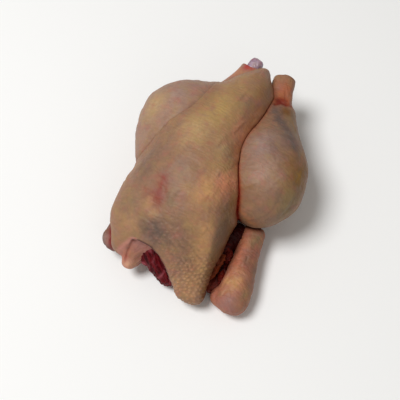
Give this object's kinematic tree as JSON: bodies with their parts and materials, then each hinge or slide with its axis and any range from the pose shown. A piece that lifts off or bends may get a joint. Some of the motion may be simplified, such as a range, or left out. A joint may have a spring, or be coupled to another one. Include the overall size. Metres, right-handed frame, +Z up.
{
  "type": "whole raw chicken",
  "caption": "Whole raw chicken on its back: long breast, folded legs, one wing let out and one tucked in, slack neck skin and an open vent; food, for cooking scenes.",
  "frame": {"origin": "on the worktop under the middle of the bird's bounding box", "axes": "+Z up through the breast, +Y towards the tail, +X towards the bird's right side"},
  "size_m": [0.2022, 0.2741, 0.1109],
  "materials": {
    "skin": "moist"
  },
  "bodies": {
    "root": {"chicken": "skin"}
  },
  "joints": []
}
